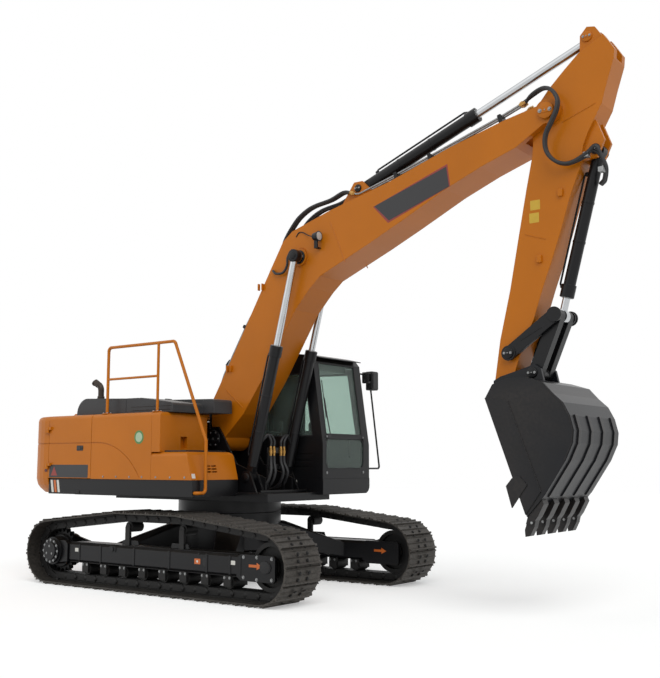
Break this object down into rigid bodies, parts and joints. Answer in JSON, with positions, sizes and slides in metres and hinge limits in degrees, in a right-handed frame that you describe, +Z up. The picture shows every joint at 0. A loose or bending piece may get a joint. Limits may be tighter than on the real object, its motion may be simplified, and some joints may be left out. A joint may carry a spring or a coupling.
{
  "type": "crawler excavator",
  "caption": "Tracked hydraulic excavator with a swinging upper structure, cab, boom, arm and toothed bucket.",
  "frame": {"origin": "on the ground under the swing axis, midway between the tracks", "axes": "+X to the machine's front along the tracks, +Y to its left, +Z up"},
  "size_m": [8.1229, 3.274, 5.955],
  "materials": {
    "paint_orange": "satin",
    "paint_black": "satin",
    "paint_grey": "satin",
    "steel_worn": "worn",
    "chrome_rod": "polished",
    "glass": "clear",
    "seat_fabric": "woven",
    "cast": "cast",
    "bucket_steel": "satin"
  },
  "bodies": {
    "undercarriage": {"track_frame": "paint_black", "track_right": "steel_worn", "track_left": "steel_worn", "track_chains": "steel_worn", "sprockets": "paint_black", "idlers": "steel_worn", "rollers": "steel_worn"},
    "upper": {"upper_frame": "paint_black", "counterweight": "paint_orange", "right_panel": "paint_orange", "fuel_tank": "paint_orange", "tool_box": "paint_orange", "left_panel": "paint_orange", "top_deck": "paint_orange", "hood_fixed": "paint_grey", "hood_side": "paint_grey", "engine": "cast", "exhaust": "steel_worn", "handrail": "paint_orange", "cab_shell": "paint_black", "cab_glass": "glass", "mirror_rail": "paint_black", "seat": "seat_fabric", "controls": "paint_black"},
    "pump_door": {"pump_door": "paint_orange"},
    "left_door": {"left_door": "paint_orange"},
    "hood_lid": {"hood_lid": "paint_grey"},
    "cab_door": {"cab_door": "paint_black", "door_glass": "glass"},
    "boom": {"boom": "paint_orange", "boom_lamp": "paint_black", "boom_pin": "paint_black"},
    "boom_barrels": {"boom_barrels": "paint_black"},
    "boom_rods": {"boom_rods": "chrome_rod"},
    "arm_barrel": {"arm_barrel": "paint_black"},
    "arm_rod": {"arm_rod": "chrome_rod"},
    "arm": {"arm": "paint_orange"},
    "bucket_barrel": {"bucket_barrel": "paint_black"},
    "bucket_rod": {"bucket_rod": "chrome_rod"},
    "side_links": {"side_links": "paint_black"},
    "bucket_link": {"bucket_link": "paint_black"},
    "bucket": {"bucket": "bucket_steel", "bucket_teeth": "bucket_steel"}
  },
  "joints": [
    {"name": "swing", "type": "hinge", "parent": "undercarriage", "child": "upper", "pos_m": [0, 0, 0.9], "axis": [0, 0, 1], "continuous": true},
    {"name": "boom_lift", "type": "hinge", "parent": "upper", "child": "boom", "pos_m": [0.04, -0.08, 1.815], "axis": [0, -1, 0], "range_deg": [-66, 28]},
    {"name": "boom_barrel_pivot", "type": "hinge", "parent": "upper", "child": "boom_barrels", "pos_m": [0.715, -0.08, 1.335], "axis": [0, 1, 0], "range_deg": [-28.17, 65.72]},
    {"name": "boom_rod_slide", "type": "slide", "parent": "boom_barrels", "child": "boom_rods", "axis": [0.25, 0, 0.9682], "range_m": [-0.8649, 0.3681]},
    {"name": "arm_crowd", "type": "hinge", "parent": "boom", "child": "arm", "pos_m": [4.64, -0.08, 5.115], "axis": [0, 1, 0], "range_deg": [-103, 13]},
    {"name": "arm_barrel_pivot", "type": "hinge", "parent": "boom", "child": "arm_barrel", "pos_m": [2.16, -0.08, 4.753], "axis": [0, 1, 0], "range_deg": [-5.9, 1.18]},
    {"name": "arm_rod_slide", "type": "slide", "parent": "arm_barrel", "child": "arm_rod", "axis": [0.9351, 0, 0.3543], "range_m": [-1.3204, 0.1684]},
    {"name": "bucket_curl", "type": "hinge", "parent": "arm", "child": "bucket", "pos_m": [4.035, -0.08, 2.27], "axis": [0, 1, 0], "range_deg": [-17, 158]},
    {"name": "side_link_pivot", "type": "hinge", "parent": "arm", "child": "side_links", "pos_m": [4.136, -0.08, 2.636], "axis": [0, 1, 0], "range_deg": [-12.01, 107.48]},
    {"name": "bucket_link_pivot", "type": "hinge", "parent": "bucket", "child": "bucket_link", "pos_m": [4.392, -0.08, 2.42], "axis": [0, 1, 0], "range_deg": [-103.42, 11.57]},
    {"name": "bucket_barrel_pivot", "type": "hinge", "parent": "arm", "child": "bucket_barrel", "pos_m": [5.103, -0.08, 4.65], "axis": [0, 1, 0], "range_deg": [-4.04, 0.88]},
    {"name": "bucket_rod_slide", "type": "slide", "parent": "bucket_barrel", "child": "bucket_rod", "axis": [-0.2647, 0, -0.9643], "range_m": [-0.1124, 1.0284]},
    {"name": "pump_door_hinge", "type": "hinge", "parent": "upper", "child": "pump_door", "pos_m": [-1.967, -1.372, 1.5], "axis": [0, 0, -1], "range_deg": [0, 110]},
    {"name": "left_door_hinge", "type": "hinge", "parent": "upper", "child": "left_door", "pos_m": [-1.967, 1.372, 1.5], "axis": [0, 0, 1], "range_deg": [0, 110]},
    {"name": "hood_hinge", "type": "hinge", "parent": "upper", "child": "hood_lid", "pos_m": [-0.658, 0, 2.328], "axis": [0, 1, 0], "range_deg": [0, 55]},
    {"name": "cab_door_hinge", "type": "hinge", "parent": "upper", "child": "cab_door", "pos_m": [0.077, 1.372, 1.6], "axis": [0, 0, 1], "range_deg": [0, 150]}
  ],
  "couplings": [
    {"joint": "boom_barrel_pivot", "follows": "boom_lift", "ratio": -0.9882},
    {"joint": "boom_rod_slide", "follows": "boom_lift", "m_per_rad": 0.7491},
    {"joint": "arm_barrel_pivot", "follows": "arm_crowd", "ratio": 0.0524},
    {"joint": "arm_rod_slide", "follows": "arm_crowd", "m_per_rad": 0.7334},
    {"joint": "side_link_pivot", "follows": "bucket_curl", "ratio": 0.6771},
    {"joint": "bucket_link_pivot", "follows": "bucket_curl", "ratio": -0.6514},
    {"joint": "bucket_barrel_pivot", "follows": "bucket_curl", "ratio": -0.0224},
    {"joint": "bucket_rod_slide", "follows": "bucket_curl", "m_per_rad": 0.3722}
  ]
}
